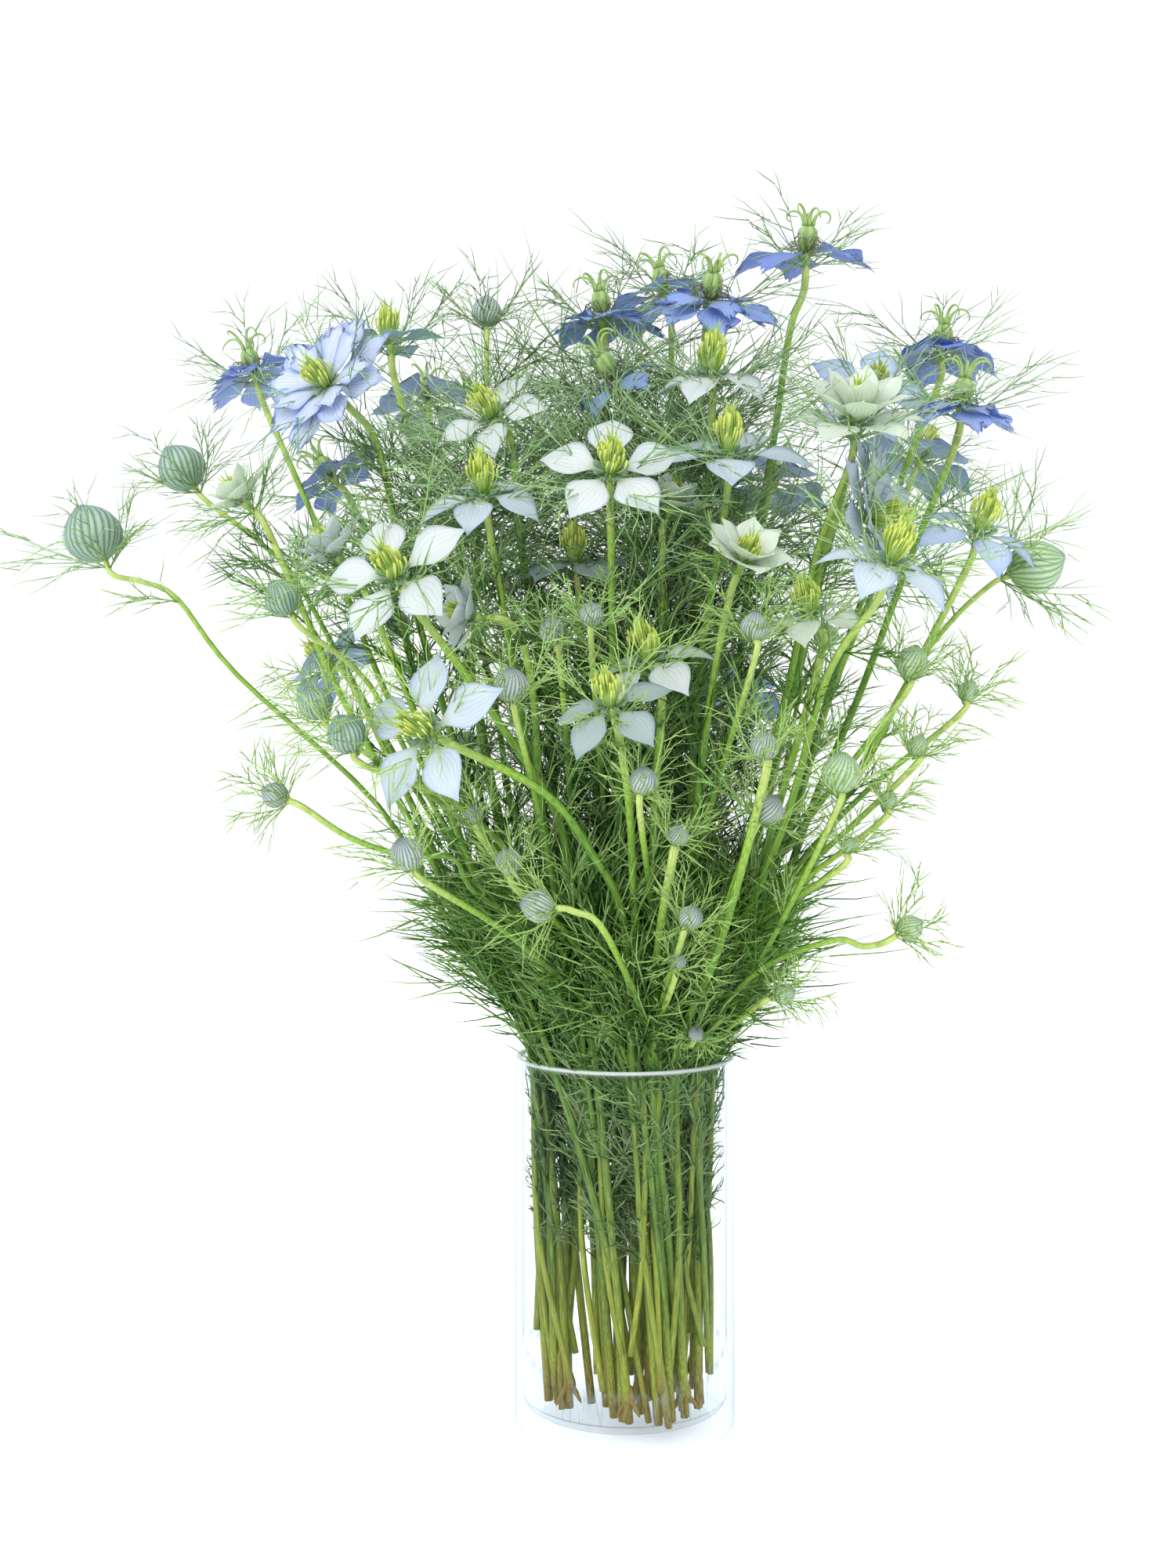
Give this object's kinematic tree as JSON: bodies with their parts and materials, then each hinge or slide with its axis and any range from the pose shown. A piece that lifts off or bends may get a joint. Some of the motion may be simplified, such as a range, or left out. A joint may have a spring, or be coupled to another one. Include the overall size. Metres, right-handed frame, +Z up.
{
  "type": "love-in-a-mist bouquet in a glass vase",
  "caption": "Fan-shaped bunch of cut love-in-a-mist with white and blue blooms, thread-like leaves and buds, standing in a straight clear glass cylinder vase.",
  "frame": {"origin": "centre of the vase's underside, on the surface that it stands on", "axes": "+Z up along the vase's axis, -Y towards the front of the bunch, +X to its right"},
  "size_m": [0.4446, 0.2619, 0.4979],
  "materials": {
    "vase_glass": "clear, smooth and polished",
    "green_growth": "fresh stems and thread-like leaves, matt, yellow-green to blue-green, browner near the cut ends",
    "white_petals": "thin, matt, white with a blue tint and fine veins",
    "pale_blue_petals": "thin, matt, pale blue to lavender with fine veins",
    "blue_petals": "thin, matt, blue to deep violet-blue, whiter towards the middle"
  },
  "bodies": {
    "root": {"vase": "vase_glass", "petals_01": "pale_blue_petals", "petals_02": "blue_petals", "petals_03": "pale_blue_petals", "petals_04": "blue_petals", "petals_05": "blue_petals", "petals_06": "white_petals", "petals_07": "white_petals", "petals_08": "white_petals", "petals_09": "blue_petals", "petals_10": "blue_petals", "petals_11": "blue_petals", "petals_12": "blue_petals", "petals_13": "white_petals", "petals_14": "white_petals", "petals_15": "white_petals", "petals_16": "white_petals", "petals_17": "blue_petals", "petals_18": "pale_blue_petals", "petals_19": "blue_petals", "petals_20": "white_petals", "petals_21": "white_petals", "petals_22": "pale_blue_petals", "petals_23": "white_petals", "petals_24": "blue_petals", "petals_25": "pale_blue_petals", "petals_26": "blue_petals", "petals_27": "pale_blue_petals", "petals_28": "pale_blue_petals", "petals_29": "white_petals", "petals_30": "white_petals", "petals_31": "white_petals", "petals_32": "white_petals", "petals_33": "white_petals", "petals_34": "white_petals", "petals_35": "pale_blue_petals", "petals_36": "white_petals", "petals_37": "white_petals", "leafy_stem_01": "green_growth", "leafy_stem_02": "green_growth", "leafy_stem_03": "green_growth", "leafy_stem_04": "green_growth", "leafy_stem_05": "green_growth", "leafy_stem_06": "green_growth", "leafy_stem_07": "green_growth", "leafy_stem_08": "green_growth", "leafy_stem_09": "green_growth", "leafy_stem_10": "green_growth", "leafy_stem_11": "green_growth", "leafy_stem_12": "green_growth", "leafy_stem_13": "green_growth", "leafy_stem_14": "green_growth", "leafy_stem_15": "green_growth", "leafy_stem_16": "green_growth", "leafy_stem_17": "green_growth", "leafy_stem_18": "green_growth", "leafy_stem_19": "green_growth", "leafy_stem_20": "green_growth", "leafy_stem_21": "green_growth", "leafy_stem_22": "green_growth"}
  },
  "joints": []
}
